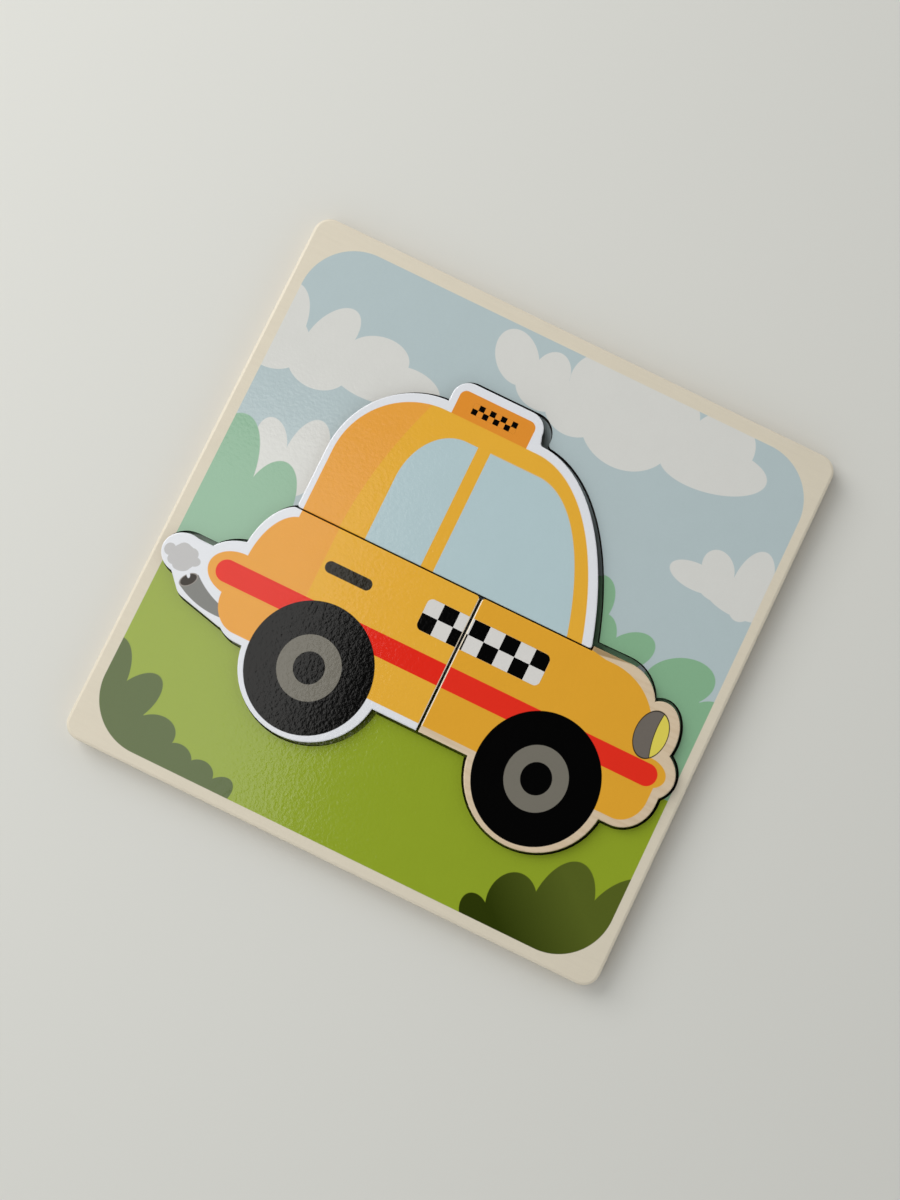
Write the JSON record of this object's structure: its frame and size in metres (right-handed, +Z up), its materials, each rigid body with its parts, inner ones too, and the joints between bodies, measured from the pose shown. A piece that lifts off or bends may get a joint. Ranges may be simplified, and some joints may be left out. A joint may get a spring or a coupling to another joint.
{
  "type": "wooden car puzzle",
  "caption": "Square wooden puzzle tray with a car-shaped pocket, filled by thick loose car pieces (cab, tail and nose) that lift straight out.",
  "frame": {"origin": "under the middle of the tray, on the face that rests on the table", "axes": "+Z up out of the picture, +X towards the car's nose, +Y towards the car's roof"},
  "size_m": [0.15, 0.15, 0.0075],
  "materials": {
    "backing_wood": "bare thin plywood, pocket floor printed with the same landscape",
    "frame_print": "satin landscape print with a bare cream border on plywood",
    "cab_print": "satin print on plywood, sides browned by the cutting",
    "rear_print": "satin print on plywood, sides browned by the cutting",
    "front_print": "satin print on plywood, sides browned by the cutting"
  },
  "bodies": {
    "tray": {"backing_board": "backing_wood", "frame_board": "frame_print"},
    "cab": {"cab_piece": "cab_print"},
    "rear": {"rear_piece": "rear_print"},
    "front": {"front_piece": "front_print"}
  },
  "joints": [
    {"name": "cab_lift", "type": "slide", "parent": "tray", "child": "cab", "axis": [0, 0, 1], "range_m": [0, 0.03]},
    {"name": "rear_lift", "type": "slide", "parent": "tray", "child": "rear", "axis": [0, 0, 1], "range_m": [0, 0.03]},
    {"name": "front_lift", "type": "slide", "parent": "tray", "child": "front", "axis": [0, 0, 1], "range_m": [0, 0.03]}
  ]
}
